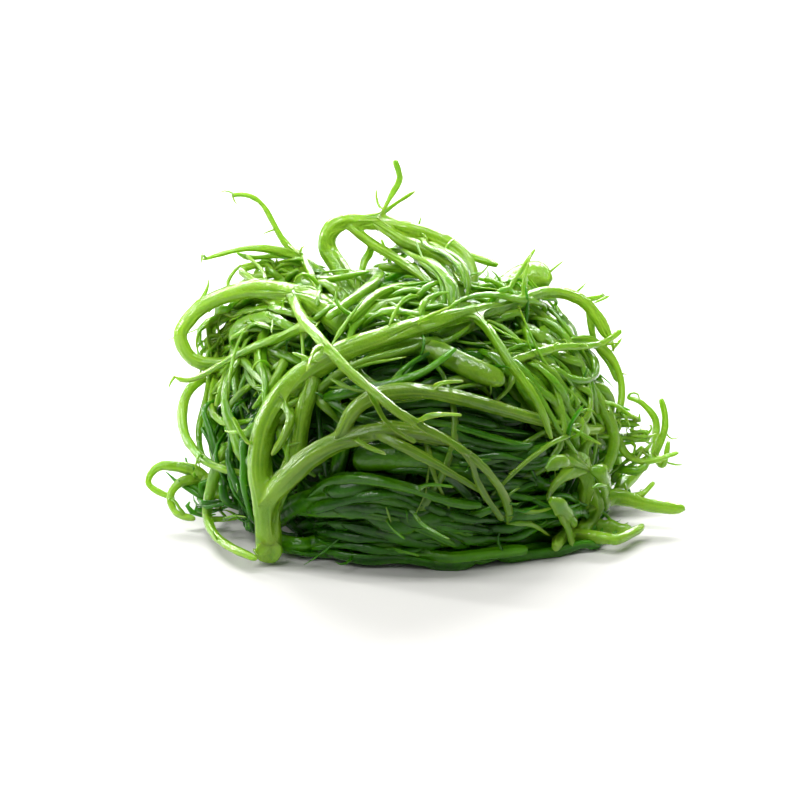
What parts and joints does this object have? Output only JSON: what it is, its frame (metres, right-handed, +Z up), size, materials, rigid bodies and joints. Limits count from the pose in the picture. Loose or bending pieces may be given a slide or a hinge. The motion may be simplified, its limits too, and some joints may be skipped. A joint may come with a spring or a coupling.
{
  "type": "heap of salted gracilaria seaweed",
  "caption": "Small heap of wet, salted gracilaria seaweed: rubbery green fronds that fork and loop, tangled over a darker matted heart.",
  "frame": {"origin": "middle of the matted heart's flat underside", "axes": "+X to the right along the longest side, -Y to the front, +Z up"},
  "size_m": [0.1057, 0.0915, 0.0673],
  "materials": {
    "frond": "wet",
    "matted_heart": "wet"
  },
  "bodies": {
    "root": {"back_frond_1": "frond", "back_frond_2": "frond", "back_frond_3": "frond", "back_frond_4": "frond", "back_frond_5": "frond", "back_frond_6": "frond", "base_frond_1": "frond", "base_frond_2": "frond", "base_frond_3": "frond", "base_frond_4": "frond", "base_frond_5": "frond", "cross_frond": "frond", "crown_frond_1": "frond", "crown_frond_2": "frond", "crown_frond_3": "frond", "far_left_frond": "frond", "forked_stalk_frond": "frond", "front_foot_frond": "frond", "front_inner_frond_1": "frond", "front_inner_frond_2": "frond", "front_inner_frond_3": "frond", "front_inner_frond_4": "frond", "inner_frond_1": "frond", "inner_frond_2": "frond", "inner_frond_3": "frond", "inner_frond_4": "frond", "leaf_tip_frond": "frond", "left_arc_frond": "frond", "left_dark_frond": "frond", "left_loop_frond": "frond", "left_tail_frond": "frond", "lit_pair_frond": "frond", "lower_bundle_frond": "frond", "matted_heart": "matted_heart", "middle_sweep_frond": "frond", "right_cluster_frond": "frond", "right_fan_frond": "frond", "right_rear_frond": "frond", "right_thread_frond": "frond", "tongue_frond": "frond", "top_left_frond": "frond", "top_loop_frond": "frond"}
  },
  "joints": []
}
